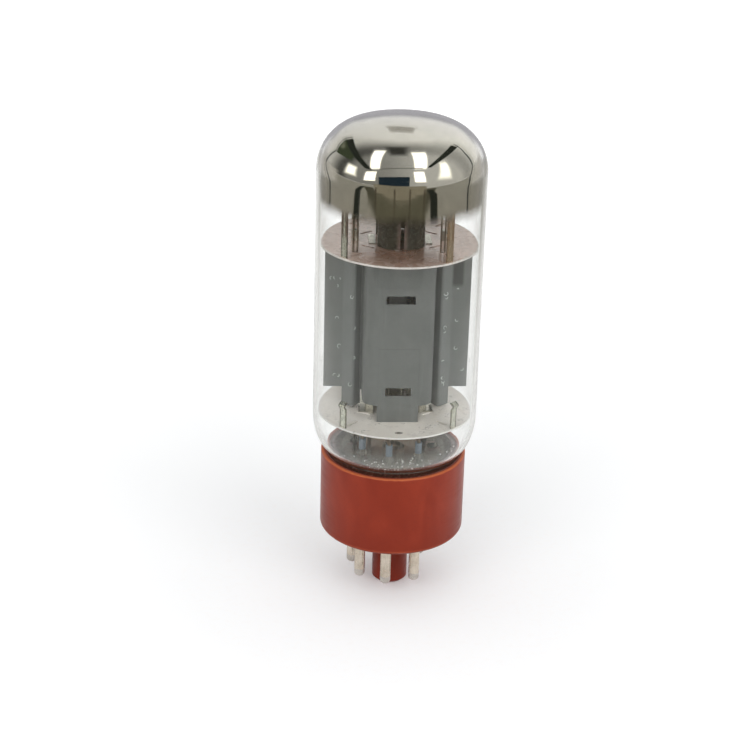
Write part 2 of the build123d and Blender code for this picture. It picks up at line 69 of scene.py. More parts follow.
# ---- node materials ----
class Nodes:
    """A node tree, which starts empty."""

    def __init__(self, tree):
        self.tree = tree
        self.tree.nodes.clear()

    def node(self, kind, settings=None, **inputs):
        made = self.tree.nodes.new(kind)
        for key, value in (settings or {}).items():
            setattr(made, key, value)
        for key, value in inputs.items():
            self.set(made.inputs[key.replace("_", " ")], value)
        return made

    def set(self, socket, value):
        if isinstance(value, bpy.types.NodeSocket):
            self.tree.links.new(value, socket)
        elif isinstance(value, tuple) and len(value) == 3 and socket.type == "RGBA":
            socket.default_value = (*value, 1)
        else:
            socket.default_value = value

    def remap(self, value, low, high, to_low, to_high, smooth=False):
        settings = {"interpolation_type": "SMOOTHSTEP"} if smooth else None
        made = self.node("ShaderNodeMapRange", settings, Value=value)
        made.inputs["From Min"].default_value = low
        made.inputs["From Max"].default_value = high
        made.inputs["To Min"].default_value = to_low
        made.inputs["To Max"].default_value = to_high
        return made.outputs[0]

    def math(self, operation, a, b):
        made = self.node("ShaderNodeMath", {"operation": operation})
        self.set(made.inputs[0], a)
        self.set(made.inputs[1], b)
        return made.outputs[0]

    def blend(self, share, a, b):
        """A mix of two shaders, given as nodes."""
        made = self.node("ShaderNodeMixShader")
        self.set(made.inputs[0], share)
        self.set(made.inputs[1], a.outputs[0])
        self.set(made.inputs[2], b.outputs[0])
        return made


class Paint(Nodes):
    """A node material, built up layer by layer.

    Textures sit in the row frame, and their sizes are in millimetres."""

    def __init__(self, name):
        self.material = bpy.data.materials.new(name)
        self.material.use_nodes = True
        super().__init__(self.material.node_tree)
        self.out = self.node("ShaderNodeOutputMaterial")
        self.place = self.node("ShaderNodeTexCoord").outputs["Object"]

    def scaled(self, size, stretch=(1, 1, 1)):
        scale = tuple(1 / (size * MM * s) for s in stretch)
        return self.node("ShaderNodeMapping", Vector=self.place, Scale=scale).outputs[0]

    def noise(self, size, detail=3.0, stretch=(1, 1, 1), rough=0.5, bend=0.0):
        """Cloudy values about 0.5, with features of about this size."""
        made = self.node("ShaderNodeTexNoise", Vector=self.scaled(size, stretch))
        made.inputs["Scale"].default_value = 1.0
        made.inputs["Detail"].default_value = detail
        made.inputs["Roughness"].default_value = rough
        made.inputs["Distortion"].default_value = bend
        return made.outputs[0]

    def cells(self, size):
        """Cells of about this size, each with its own random colour."""
        made = self.node("ShaderNodeTexVoronoi", Vector=self.scaled(size))
        made.inputs["Scale"].default_value = 1.0
        return made

    def mix(self, share, a, b):
        made = self.node("ShaderNodeMixRGB")
        self.set(made.inputs[0], share)
        self.set(made.inputs[1], a)
        self.set(made.inputs[2], b)
        return made.outputs[0]

    def axis(self, name):
        """One of the row frame's coordinates, in millimetres."""
        split = self.node("ShaderNodeSeparateXYZ", Vector=self.place)
        return self.math("MULTIPLY", split.outputs[name], 1 / MM)

    def radius(self):
        """Distance from the tube's axis, in millimetres."""
        return self.math("SQRT", self.sum_of_squares(self.axis("X"), self.axis("Y")), 0.0)

    def sum_of_squares(self, a, b):
        return self.math("ADD", self.math("MULTIPLY", a, a), self.math("MULTIPLY", b, b))

    def size_of(self, value):
        """The value without its sign."""
        return self.math("ABSOLUTE", value, 0.0)

    def off(self, value, middle):
        """How far the value is from the middle."""
        return self.size_of(self.math("SUBTRACT", value, middle))

    def bump(self, height, depth):
        """A surface relief this deep, in millimetres, where height runs from 0 to 1."""
        made = self.node("ShaderNodeBump", Height=height)
        made.inputs["Strength"].default_value = 1.0
        made.inputs["Distance"].default_value = depth * MM
        return made.outputs[0]

    def surface(self, shader):
        self.set(self.out.inputs["Surface"], shader.outputs[0])
        return self.material

    def finish(self, **inputs):
        return self.surface(self.node("ShaderNodeBsdfPrincipled", None, **inputs))

    def clear_to_lamps(self, shader, colour):
        """The shader, except that rays towards the lamps pass straight through, tinted."""
        clear = self.node("ShaderNodeBsdfTransparent", Color=colour)
        path = self.node("ShaderNodeLightPath")
        return self.surface(self.blend(path.outputs["Is Shadow Ray"], shader, clear))


def plain_metal(name, dark, light, rough, grain, stretch=(1, 1, 1), relief=0.004):
    """Metal with cloudy tarnish and a fine grain."""
    p = Paint(name)
    tarnish = p.remap(p.noise(2.5, 4, rough=0.65), 0.3, 0.7, 0, 1)
    grains = p.noise(grain, 3, stretch)
    colour = p.mix(tarnish, dark, light)
    colour = p.mix(p.remap(grains, 0.35, 0.65, 0.0, 0.35), colour, tuple(c * 0.72 for c in dark))
    roughness = p.remap(p.noise(0.9, 4), 0.25, 0.75, rough * 0.75, rough * 1.3)
    return p.finish(
        Base_Color=colour,
        Metallic=1.0,
        Roughness=roughness,
        Normal=p.bump(grains, relief),
    )


def phenolic():
    """Moulded red-brown plastic with flecks and dust, with painted highlights along its rims and
    painted shade towards the bottom.
    """
    p = Paint("phenolic_red_brown")
    flow = p.noise(7, 4, (1, 1, 2.2), bend=1.2)
    colour = p.mix(p.remap(flow, 0.3, 0.7, 0, 1), (0.180, 0.0165, 0.0045), (0.228, 0.025, 0.008))
    flecks = p.remap(p.noise(0.35, 2), 0.62, 0.72, 0, 0.5)
    colour = p.mix(flecks, colour, (0.12, 0.018, 0.010))
    dust = p.remap(p.noise(0.5, 5, rough=0.7), 0.66, 0.80, 0, 0.30)
    colour = p.mix(dust, colour, (0.45, 0.16, 0.09))
    height = p.math("ADD", p.axis("Z"), p.math("MULTIPLY", p.noise(1.2, 3), 0.25))
    # painted highlight along the outer top rim, stronger in front
    rim_highlight = p.remap(height, BASE_TOP - 0.22, BASE_TOP + 0.02, 0, 0.85)
    rim_highlight = p.math("MULTIPLY", rim_highlight, p.remap(p.radius(), 15.3, 15.6, 0, 1))
    rim_highlight = p.math("MULTIPLY", rim_highlight, p.remap(p.axis("Y"), 2, 8, 1, 0.3))
    highlight_orange = (0.50, 0.125, 0.045)
    colour = p.mix(rim_highlight, colour, highlight_orange)
    # painted highlight along a thin line near the lower edge, in the same orange
    lower_edge = p.off(height, BASE_BOTTOM + 0.85)
    colour = p.mix(p.remap(lower_edge, 0.05, 0.30, 0.35, 0), colour, highlight_orange)
    # painted shade, darkening the base towards the bottom
    colour = p.mix(p.remap(height, 12, 25, 0.55, 0), colour, (0.135, 0.009, 0.001))
    rubs = p.noise(1.6, 4, (5, 5, 0.25))
    roughness = p.remap(rubs, 0.3, 0.7, 0.30, 0.44)
    relief = p.math("ADD", p.noise(0.8, 4), p.math("MULTIPLY", rubs, 0.4))
    return p.finish(
        Base_Color=colour,
        Roughness=roughness,
        Specular_IOR_Level=0.23,
        Sheen_Weight=0.22,
        Sheen_Roughness=0.22,
        Normal=p.bump(relief, 0.012),
    )


def bulb_glass():
    """Clear glass with a breath of dust."""
    p = Paint("bulb_glass_clear")
    haze = p.noise(4, 5, rough=0.6)
    tint = p.mix(p.remap(haze, 0.4, 0.7, 0, 1), (0.995, 0.997, 0.994), (0.975, 0.980, 0.976))
    smear = p.remap(p.noise(2.2, 4, (1, 1, 3)), 0.5, 0.8, 0.0, 0.03)
    glass = p.node("ShaderNodeBsdfGlass", Color=tint, Roughness=smear, IOR=1.47)
    p.set(glass.inputs["Normal"], p.bump(p.noise(9, 1), 0.010))
    return p.clear_to_lamps(glass, (0.97, 0.98, 0.97))


def stem_glass():
    """Greyish glass, browner in the middle and frosted towards the front."""
    p = Paint("stem_glass_grey")
    cloud = p.noise(3, 4)
    tint = p.mix(p.remap(cloud, 0.35, 0.65, 0, 1), (0.88, 0.87, 0.83), (0.72, 0.71, 0.66))
    tint = p.mix(p.remap(p.radius(), 4, 10, 0.6, 0), tint, (0.84, 0.72, 0.60))
    glass = p.node("ShaderNodeBsdfGlass", Color=tint, IOR=1.5)
    p.set(glass.inputs["Roughness"], p.remap(cloud, 0.3, 0.7, 0.03, 0.10))
    p.set(glass.inputs["Normal"], p.bump(p.noise(1.6, 3), 0.05))
    frost = p.node("ShaderNodeBsdfDiffuse", Color=(0.52, 0.52, 0.48))
    frosted = p.blend(p.remap(p.axis("Y"), -12, -4, 0.32, 0.05), glass, frost)
    return p.clear_to_lamps(frosted, (0.75, 0.75, 0.72))


def getter_film():
    """The mirror inside the dome: bright on top, browner down the wall, fading out at its edge."""
    p = Paint("getter_mirror_film")
    height = p.axis("Z")
    wander = p.math("MULTIPLY", p.noise(9, 3), 2.2)
    level = p.math("ADD", height, wander)
    cloud = p.noise(5, 4)
    bright = p.mix(p.remap(cloud, 0.3, 0.7, 0, 1), (0.66, 0.64, 0.565), (0.61, 0.59, 0.52))
    lower = p.mix(p.remap(cloud, 0.3, 0.7, 0, 1), (0.60, 0.565, 0.48), (0.54, 0.505, 0.43))
    colour = p.mix(p.remap(level, 95, 104, 0, 1), lower, bright)
    colour = p.mix(p.remap(level, 91.5, 94.5, 1, 0), colour, (0.30, 0.235, 0.20))
    cover = p.remap(level, 91.1, 94.5, 0, 1, smooth=True)
    roughness = p.remap(p.noise(1.2, 5, rough=0.65), 0.3, 0.8, 0.02, 0.09)
    return p.finish(
        Base_Color=colour,
        Metallic=1.0,
        Roughness=roughness,
        Specular_Tint=(0.92, 0.91, 0.93),
        Alpha=cover,
        Normal=p.bump(p.noise(6, 1), 0.015),
    )


def mica(name, dark, light, rough, coat, front_reflection=None, vent=None):
    """Layered mica: cloudy, flaked, cracked and finely scratched, and glossy over the top.

    The dark reflection painted in front of the middle takes the colour given for it, and vent is
    how far in front the vent lies, where shade is painted dark."""
    p = Paint(name)
    cloud = p.noise(5, 5, rough=0.6, bend=0.8)
    colour = p.mix(p.remap(cloud, 0.3, 0.7, 0, 1), dark, light)
    flakes = p.cells(1.7)
    flake_tone = p.remap(flakes.outputs["Color"], 0, 1, 0.0, 0.07)
    colour = p.mix(flake_tone, colour, tuple(c * 0.6 for c in dark))
    scratch = p.noise(0.5, 3, (0.15, 6, 1))
    bright = tuple(min(1, c * 1.5) for c in light)
    colour = p.mix(p.remap(scratch, 0.62, 0.74, 0, 0.45), colour, bright)
    if front_reflection:
        # painted dark reflection in the glossy mica, in front of the middle
        across = p.math("DIVIDE", p.axis("X"), 9.5)
        along = p.math("DIVIDE", p.math("ADD", p.axis("Y"), 9.0), 7.0)
        spread = p.sum_of_squares(across, along)
        spread = p.math("ADD", spread, p.math("MULTIPLY", p.noise(3, 3), 0.8))
        colour = p.mix(p.remap(spread, 0.6, 2.0, 0.9, 0), colour, front_reflection)
    split_edge = p.math("ADD", p.radius(), p.math("MULTIPLY", p.noise(0.5, 3), 0.5))
    split = p.remap(split_edge, MICA_SPLIT_R, MICA_SPLIT_R + 0.2, 0, 0.85)
    colour = p.mix(split, colour, (0.84, 0.81, 0.77))
    crack = p.remap(p.off(p.noise(2.2, 3, bend=1.0), 0.5), 0.0, 0.012, 1, 0)
    crack = p.math("MULTIPLY", crack, p.remap(p.noise(4, 3), 0.48, 0.56, 0, 0.8))
    colour = p.mix(crack, colour, (0.10, 0.075, 0.055))
    if vent:
        # painted shade over the vent, where the opening shows dark
        along = p.math("MULTIPLY", p.math("ADD", p.axis("Y"), vent), 1.6)
        vent_shade = p.remap(p.sum_of_squares(p.axis("X"), along), 0.60, 0.85, 0.9, 0)
        colour = p.mix(vent_shade, colour, (0.09, 0.08, 0.055))
    relief = p.math("ADD", p.noise(2.0, 4), p.math("MULTIPLY", scratch, 0.3))
    return p.finish(
        Base_Color=colour,
        Roughness=p.remap(cloud, 0.3, 0.7, rough * 0.7, rough * 1.5),
        IOR=1.6,
        Coat_Weight=coat,
        Coat_Roughness=0.12,
        Normal=p.bump(relief, 0.02),
    )


def anode_grey():
    """Matte grey coating, with the ribs and wings painted lighter where side light falls, painted
    shade along a pressed panel's faint outline, and a painted shadow patch.
    """
    p = Paint("anode_matte_grey")
    cloud = p.noise(6, 5, rough=0.6)
    colour = p.mix(p.remap(cloud, 0.3, 0.7, 0, 1), (0.140, 0.147, 0.140), (0.174, 0.181, 0.172))
    outward = p.size_of(p.axis("X"))
    # ribs and wings painted lighter, standing in for the side light on them
    colour = p.mix(p.remap(outward, 7.2, 8.6, 0, 0.62), colour, (0.235, 0.250, 0.240))
    grain = p.noise(0.25, 3)
    colour = p.mix(p.remap(grain, 0.35, 0.7, 0, 0.3), colour, (0.100, 0.107, 0.102))
    streak = p.remap(p.noise(1.6, 3, (1, 1, 9)), 0.58, 0.75, 0, 0.35)
    colour = p.mix(streak, colour, (0.22, 0.23, 0.22))
    height = p.axis("Z")
    # painted shade in the creases round the pressed panel
    top_crease_shade = p.remap(p.off(height, PANEL_TOP), 0.06, 0.18, 0.30, 0)
    within = p.remap(outward, PANEL_HALF, PANEL_HALF + 0.1, 1, 0)
    top_crease_shade = p.math("MULTIPLY", top_crease_shade, within)
    side_crease_shade = p.remap(p.off(outward, PANEL_HALF), 0.06, 0.18, 0.15, 0)
    below = p.remap(height, PANEL_TOP, PANEL_TOP + 0.1, 1, 0)
    side_crease_shade = p.math("MULTIPLY", side_crease_shade, below)
    colour = p.mix(p.math("MAXIMUM", top_crease_shade, side_crease_shade), colour, (0.085, 0.090, 0.086))
    # painted shadow at the top of the right wing, on its front half only
    painted_shadow = p.remap(p.off(p.axis("X"), SHADOW_PATCH_X), 0.9, 1.5, 0.8, 0)
    painted_shadow = p.math("MULTIPLY", painted_shadow, p.remap(height, SHADOW_PATCH_Z, SHADOW_PATCH_Z + 1.1, 0, 1))
    front = p.remap(p.axis("Y"), -0.2, 0.0, 1, 0)
    colour = p.mix(p.math("MULTIPLY", painted_shadow, front), colour, (0.045, 0.048, 0.046))
    return p.finish(
        Base_Color=colour,
        Roughness=p.remap(cloud, 0.3, 0.7, 0.46, 0.62),
        Normal=p.bump(grain, 0.012),
    )


def powdery(name, dark, light, size=0.3, relief=0.03, rough=0.85):
    """A chalky, grainy coating."""
    p = Paint(name)
    grain = p.noise(size, 4, rough=0.65)
    colour = p.mix(p.remap(grain, 0.3, 0.7, 0, 1), dark, light)
    stain = p.remap(p.noise(4, 4), 0.5, 0.75, 0, 0.5)
    colour = p.mix(stain, colour, tuple(c * 0.7 for c in dark))
    return p.finish(
        Base_Color=colour,
        Roughness=p.remap(grain, 0.3, 0.7, rough * 0.85, min(1, rough * 1.1)),
        Normal=p.bump(grain, relief),
    )


def spring_strip(turn):
    """Springy strip at this angle about the tube.

    It is painted with a highlight in the middle and shade at its edges, with browner shade further
    up."""
    p = Paint(f"spring_strip_{turn:.0f}")
    aside = p.math("MULTIPLY", p.axis("X"), sin(radians(turn)))
    aside = p.math("SUBTRACT", p.math("MULTIPLY", p.axis("Y"), cos(radians(turn))), aside)
    tarnish = p.remap(p.noise(2.0, 4, rough=0.65), 0.3, 0.7, 0, 1)
    colour = p.mix(tarnish, (0.58, 0.60, 0.50), (0.86, 0.87, 0.78))
    stain = p.remap(p.noise(0.9, 4, rough=0.65), 0.50, 0.70, 0, 0.5)
    colour = p.mix(stain, colour, (0.24, 0.23, 0.18))
    shade_across = p.math("MULTIPLY", p.noise(0.7, 3, (1, 1, 4)), 0.3)
    shade_across = p.math("ADD", p.size_of(aside), shade_across)
    # painted shade at the strip's edges, leaving a painted highlight down its middle
    colour = p.mix(p.remap(shade_across, 0.66, 0.86, 0, 0.9), colour, (0.16, 0.15, 0.10))
    height = p.axis("Z")
    # painted browner shade at the strip's sides higher up
    brown = p.remap(shade_across, 0.28, 0.45, 0, 0.9)
    brown = p.math("MULTIPLY", p.remap(height, 86.0, 87.5, 0, 1), brown)
    colour = p.mix(brown, colour, (0.17, 0.105, 0.065))
    brass = p.remap(p.axis("X"), 0, 1, 0, 0.75)
    brass = p.math("MULTIPLY", p.remap(height, 80, 82, 0, 1), brass)
    colour = p.mix(brass, colour, (0.50, 0.33, 0.19))
    grain = p.noise(0.3, 3, (1, 1, 8))
    return p.finish(
        Base_Color=colour,
        Metallic=1.0,
        Roughness=p.remap(grain, 0.25, 0.75, 0.18, 0.32),
        Normal=p.bump(grain, 0.006),
    )


def radiator_black():
    """Blackened sheet, a little browner low down beside the gap between its halves."""
    p = Paint("radiator_blackened")
    cloud = p.noise(3, 4)
    colour = p.mix(p.remap(cloud, 0.3, 0.7, 0, 1), (0.042, 0.037, 0.027), (0.048, 0.042, 0.030))
    inner = p.remap(p.size_of(p.axis("X")), 0.5, 1.3, 0.9, 0)
    inner = p.math("MULTIPLY", inner, p.remap(p.axis("Z"), 86.5, 89.5, 1, 0))
    colour = p.mix(inner, colour, (0.21, 0.145, 0.125))
    return p.finish(
        Base_Color=colour,
        Roughness=p.remap(p.noise(0.8, 4), 0.3, 0.7, 0.24, 0.30),
        Normal=p.bump(p.noise(1.5, 3), 0.002),
    )


def cement_mat():
    """Dark brown cement, in rounded grains of which the lighter ones shine."""
    p = Paint("cement_dark_brown")
    grain = p.cells(0.35)
    tone = p.remap(grain.outputs["Color"], 0, 1, 0, 1)
    colour = p.mix(tone, (0.016, 0.004, 0.002), (0.105, 0.024, 0.010))
    shine = p.remap(tone, 0.7, 0.9, 0.75, 0.16)
    return p.finish(
        Base_Color=colour,
        Roughness=shine,
        Specular_IOR_Level=0.35,
        Normal=p.bump(grain.outputs["Distance"], 0.12),
    )


MATERIALS = {
    "base_phenolic": phenolic(),
    "pin_nickel": plain_metal(
        "pin_nickel_plate", (0.66, 0.58, 0.47), (0.88, 0.81, 0.70), 0.24, 0.4, (1, 1, 6)
    ),
    "solder": plain_metal(
        "solder_tip", (0.55, 0.51, 0.46), (0.80, 0.77, 0.72), 0.30, 0.5, relief=0.03
    ),
    "cement": cement_mat(),
    "bulb_glass": bulb_glass(),
    "stem_glass": stem_glass(),
    "getter_film": getter_film(),
    "mica": mica(
        "mica_fired_brown", (0.62, 0.42, 0.345), (0.84, 0.63, 0.54), 0.26, 1.0,
        front_reflection=(0.185, 0.095, 0.062),
    ),
    "anode_grey": anode_grey(),
    "electrode_nickel": plain_metal(
        "electrode_nickel_sheet", (0.50, 0.49, 0.42), (0.80, 0.79, 0.71), 0.30, 0.4
    ),
    "spring_nickel": spring_strip(45),
    "grid_wire": plain_metal(
        "grid_wire_gold", (0.50, 0.42, 0.28), (0.72, 0.62, 0.44), 0.30, 0.3
    ),
    "cathode_oxide": powdery("cathode_oxide_white", (0.62, 0.61, 0.58), (0.80, 0.79, 0.76)),
    "heater_coating": powdery(
        "heater_alumina_white", (0.70, 0.69, 0.67), (0.86, 0.85, 0.83), 0.12, 0.02
    ),
    "radiator_black": radiator_black(),
    "lead_wire": plain_metal(
        "lead_wire_dull", (0.20, 0.16, 0.12), (0.45, 0.37, 0.29), 0.34, 0.4
    ),
    "sleeve_ceramic": powdery(
        "sleeve_ceramic_blue", (0.13, 0.16, 0.19), (0.28, 0.33, 0.37), 0.25, 0.01, 0.20
    ),
    "getter_residue": powdery(
        "getter_residue_grey", (0.07, 0.06, 0.055), (0.16, 0.15, 0.14), 0.25, 0.06
    ),
}
LOWER_MICA = mica(
    "mica_clouded_white", (0.90, 0.83, 0.75), (0.98, 0.93, 0.87), 0.34, 0.6, vent=VENT_Y
)

for node in nodes.values():
    slot = node.material_slots[0]
    slot.material = MATERIALS[slot.material.name.split(".")[0]]
nodes["lower_mica"].material_slots[0].material = LOWER_MICA
SPRING_TURNS = {
    -45: ["lower_spring_front_right", "lower_spring_rear_left"],
    42.8: ["upper_spring_front_left", "upper_spring_rear_right"],
    -56: ["upper_spring_front_right", "upper_spring_rear_left"],
}
for turn, strips in SPRING_TURNS.items():
    strip = spring_strip(turn)
    for name in strips:
        nodes[name].material_slots[0].material = strip


# ---- meshes ----
def piece(name, points, faces, slot, replaces=(), material=None, smooth=True):
    """A new visible piece, in millimetres, which rides on the tube."""
    mesh = bpy.data.meshes.new(name)
    mesh.from_pydata([tuple(c * MM for c in p) for p in points], [], faces)
    mesh.materials.append(material or MATERIALS[slot])
    mesh.polygons.foreach_set("use_smooth", [smooth] * len(mesh.polygons))
    mesh.update()
    made = bpy.data.objects.new(name, mesh)
    bpy.context.scene.collection.objects.link(made)
    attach(made, "root")
    if replaces:
        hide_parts(*replaces)


def lathe(outline, around=160, closed=False):
    """Points and faces of an outline of (radius, height) turned about the axis."""
    points, rings = [], []
    for r, z in outline:
        if r < 1e-6:
            rings.append([len(points)])
            points.append((0, 0, z))
        else:
            rings.append(list(range(len(points), len(points) + around)))
            for i in range(around):
                a = 2 * pi * i / around
                points.append((r * cos(a), r * sin(a), z))
    faces = []
    pairs = list(zip(rings, rings[1:] + rings[:1] if closed else rings[1:]))
    for low, high in pairs:
        for i in range(around):
            j = (i + 1) % around
            if len(low) == 1 and len(high) == 1:
                continue
            if len(low) == 1:
                faces.append((low[0], high[j], high[i]))
            elif len(high) == 1:
                faces.append((low[i], low[j], high[0]))
            else:
                faces.append((low[i], low[j], high[j], high[i]))
    return points, faces


def bulb_line(inset):
    """The bulb's outline from the seal to the middle of the crown, moved inwards by the inset."""
    turn_x = BULB_R - SHOULDER_R
    slope = asin(turn_x / (CROWN_R - SHOULDER_R))
    crown_z = BULB_TOP - CROWN_R
    line = []
    for i in range(17):
        a = i / 16 * pi / 2
        r = BULB_R - BOWL_RX + (BOWL_RX - inset) * sin(a)
        line.append((r, BOWL_Z - (BOWL_RZ - inset) * cos(a)))
    for i in range(1, 13):
        line.append((BULB_R - inset, BOWL_Z + (SHOULDER_Z - BOWL_Z) * i / 12))
    for i in range(1, 29):
        a = pi / 2 + (slope - pi / 2) * i / 28
        r = SHOULDER_R - inset
        line.append((turn_x + r * sin(a), SHOULDER_Z + r * cos(a)))
    for i in range(1, 13):
        a = slope * (1 - i / 12)
        line.append(((CROWN_R - inset) * sin(a), crown_z + (CROWN_R - inset) * cos(a)))
    return line


outside = bulb_line(0)
inside = bulb_line(GLASS)
points, faces = lathe(outside + inside[::-1], closed=True)
piece("bulb_envelope", points, faces, "bulb_glass", ["glass_bulb"])

film_r = BULB_R - GLASS - FILM_GAP
wall = [(film_r, FILM_EDGE + (SHOULDER_Z - FILM_EDGE) * i / 8) for i in range(9)]
film = [p for p in bulb_line(GLASS + FILM_GAP) if p[1] > SHOULDER_Z]
points, faces = lathe(wall + film)
piece("getter_mirror_film", points, faces, "getter_film", ["getter_mirror"])

# where the burrs lie: the depth of the wings' and the ribs' fronts, then each one's (x, z)
STAKES = {
    -0.42: [
        (-14.5, 73.6), (-13.6, 73.7), (-12.4, 73.6), (-13.2, 71.75), (-13.1, 64.3),
        (-12.5, 57.75), (-13.4, 50.9), (-12.6, 50.8), (12.9, 70.9), (13.0, 64.0),
        (13.0, 57.35), (14.6, 52.3),
    ],
    -2.1: [
        (-10.0, 69.9), (-9.45, 62.7), (-9.3, 55.7), (-10.0, 49.4), (10.15, 70.7),
        (10.2, 69.9), (10.26, 62.8), (10.1, 62.0), (10.15, 54.8), (10.2, 50.9),
        (10.3, 50.1), (10.15, 49.3),
    ],
}


def stake_marks():
    """Curled burrs, up to a millimetre across, where the anode's halves are staked together."""
    random.seed(7)
    points, faces = [], []
    steps, sides = 12, 6
    for y, marks in STAKES.items():
        for x, z in marks:
            radius = random.uniform(0.28, 0.48)
            start = random.uniform(0, 2 * pi)
            sweep = random.uniform(2.2, 5.0)
            squash = random.uniform(0.6, 1.1)
            first = len(points)
            for i in range(steps + 1):
                a = start + sweep * i / steps
                thick = 0.10 * sin(pi * (i + 0.6) / (steps + 1.2)) ** 0.5
                centre = Vector((x + radius * squash * cos(a), y, z + radius * sin(a)))
                outward = Vector((cos(a), 0, sin(a)))
                for j in range(sides):
                    b = 2 * pi * j / sides
                    offset = outward * thick * cos(b) + Vector((0, thick * sin(b), 0))
                    points.append(tuple(centre + offset))
            for i in range(steps):
                for j in range(sides):
                    k = (j + 1) % sides
                    low, high = first + i * sides, first + (i + 1) * sides
                    faces.append((low + j, low + k, high + k, high + j))
            faces.append(tuple(range(first, first + sides)))
            faces.append(tuple(range(first + steps * sides, first + (steps + 1) * sides))[::-1])
    return points, faces


points, faces = stake_marks()
burr = powdery("anode_burr_light", (0.46, 0.50, 0.48), (0.74, 0.78, 0.75), 0.2, 0.01, 0.5)
piece("anode_stake_marks", points, faces, "anode_grey", material=burr)


def crumbs():
    """Loose bright crumbs of mica, which lie in the front of the bulb's bowl and on the stem."""
    random.seed(11)
    points, faces = [], []
    for _ in range(110):
        a, r = random.gauss(-pi / 2 + 0.05, 0.5), random.uniform(8.0, 15.0)
        size = random.choice((0.05, 0.07, 0.10, 0.14, 0.22))
        up_bowl = max(0, r - BULB_R + BOWL_RX) / (BOWL_RX - GLASS)
        z = BOWL_Z - (BOWL_RZ - GLASS) * cos(asin(up_bowl))
        centre = Vector((r * cos(a), r * sin(a), z + size * 0.9))
        first = len(points)
        for way in ((1, 0, 0), (0, 1, 0), (-1, 0, 0), (0, -1, 0), (0, 0, 1), (0, 0, -1)):
            nudge = Vector([random.uniform(-0.35, 0.35) for _ in range(3)])
            points.append(tuple(centre + (Vector(way) + nudge) * size))
        for i in range(4):
            j = (i + 1) % 4
            faces.append((first + i, first + j, first + 4))
            faces.append((first + j, first + i, first + 5))
    return points, faces


points, faces = crumbs()
grit = powdery("mica_crumb_white", (0.86, 0.84, 0.80), (0.98, 0.97, 0.95), 0.1, 0.01, 0.3)
piece("mica_crumbs", points, faces, "mica", material=grit, smooth=False)


# ---- floor, light and camera ----
FLOOR_HALF = 4.0         # from here on, sizes are in metres
TABLE_HALF = 3.0
TABLE_Z = 0.001
DOME = Vector((0, 0, 0.1))
CARD_STEPS = 12
LAMP_DISTANCE = 0.9


def staged(name, points, faces, material):
    mesh = bpy.data.meshes.new(name)
    mesh.from_pydata(points, [], faces)
    mesh.materials.append(material)
    made = bpy.data.objects.new(name, mesh)
    bpy.context.scene.collection.objects.link(made)
    return made


def square(half, z):
    return [(-half, -half, z), (half, -half, z), (half, half, z), (-half, half, z)]


def floor_white():
    """White paper, whose slight glow grows with distance from the tube."""
    p = Paint("floor_paper")
    fibre = p.noise(1.5, 4)
    colour = p.mix(p.remap(fibre, 0.3, 0.7, 0, 1), (0.93, 0.925, 0.92), (0.96, 0.958, 0.955))
    return p.finish(
        Base_Color=colour,
        Roughness=0.9,
        Specular_IOR_Level=0.1,
        Emission_Color=(0.995, 0.997, 1.0),
        Emission_Strength=p.remap(p.radius(), 45, 320, 0.06, 0.42),
    )


staged("floor", square(FLOOR_HALF, 0), [(0, 1, 2, 3)], floor_white())


def direction(azimuth, elevation):
    """Azimuth 0 is straight behind the tube, 90 to its right, 180 towards the camera."""
    a, e = radians(azimuth), radians(elevation)
    return Vector((sin(a) * cos(e), cos(a) * cos(e), sin(e)))


def mirror_only(p, glow):
    """Leaves a material glowing where a mirror shows it, and clear everywhere else."""
    mirrored = p.math("GREATER_THAN", p.node("ShaderNodeLightPath").outputs["Glossy Depth"], 0.5)
    p.surface(p.blend(mirrored, p.node("ShaderNodeBsdfTransparent"), glow))


def woven(p, dark, light):
    """A faint weave between two colours."""
    return p.mix(p.remap(p.noise(20, 3), 0.3, 0.7, 0, 1), dark, light)


def unseen(made, *rays):
    for ray in rays:
        setattr(made, "visible_" + ray, False)


def card(name, corners, shade, distance=0.8, soft=0.0):
    """A card, mirrored in the dome only. Its four corners are (azimuth, elevation) from there.

    A soft one fades out over this share of its half width and height."""
    p = Paint(name + "_cloth")
    colour = woven(p, tuple(c * 0.94 for c in shade), shade)
    glow = p.node("ShaderNodeEmission", Color=colour, Strength=1.0)
    if soft:
        fade = p.node("ShaderNodeAttribute", {"attribute_name": "inward"}).outputs["Fac"]
        fade = p.remap(fade, 0, soft, 0, 1, smooth=True)
        glow = p.blend(fade, p.node("ShaderNodeBsdfTransparent"), glow)
    mirror_only(p, glow)
    a, b, c, d = (direction(*corner) for corner in corners)
    points, inward = [], []
    row = CARD_STEPS + 1
    for i in range(row):
        for j in range(row):
            u, v = j / CARD_STEPS, i / CARD_STEPS
            way = (a * (1 - u) + b * u) * (1 - v) + (d * (1 - u) + c * u) * v
            points.append(tuple(DOME + way.normalized() * distance))
            inward.append(2 * min(u, v, 1 - u, 1 - v))
    quads = [
        (i * row + j, i * row + j + 1, (i + 1) * row + j + 1, (i + 1) * row + j)
        for i in range(CARD_STEPS)
        for j in range(CARD_STEPS)
    ]
    made = staged(name, points, quads, p.material)
    made.data.attributes.new("inward", "FLOAT", "POINT").data.foreach_set("value", inward)
    unseen(made, "camera", "shadow", "diffuse")


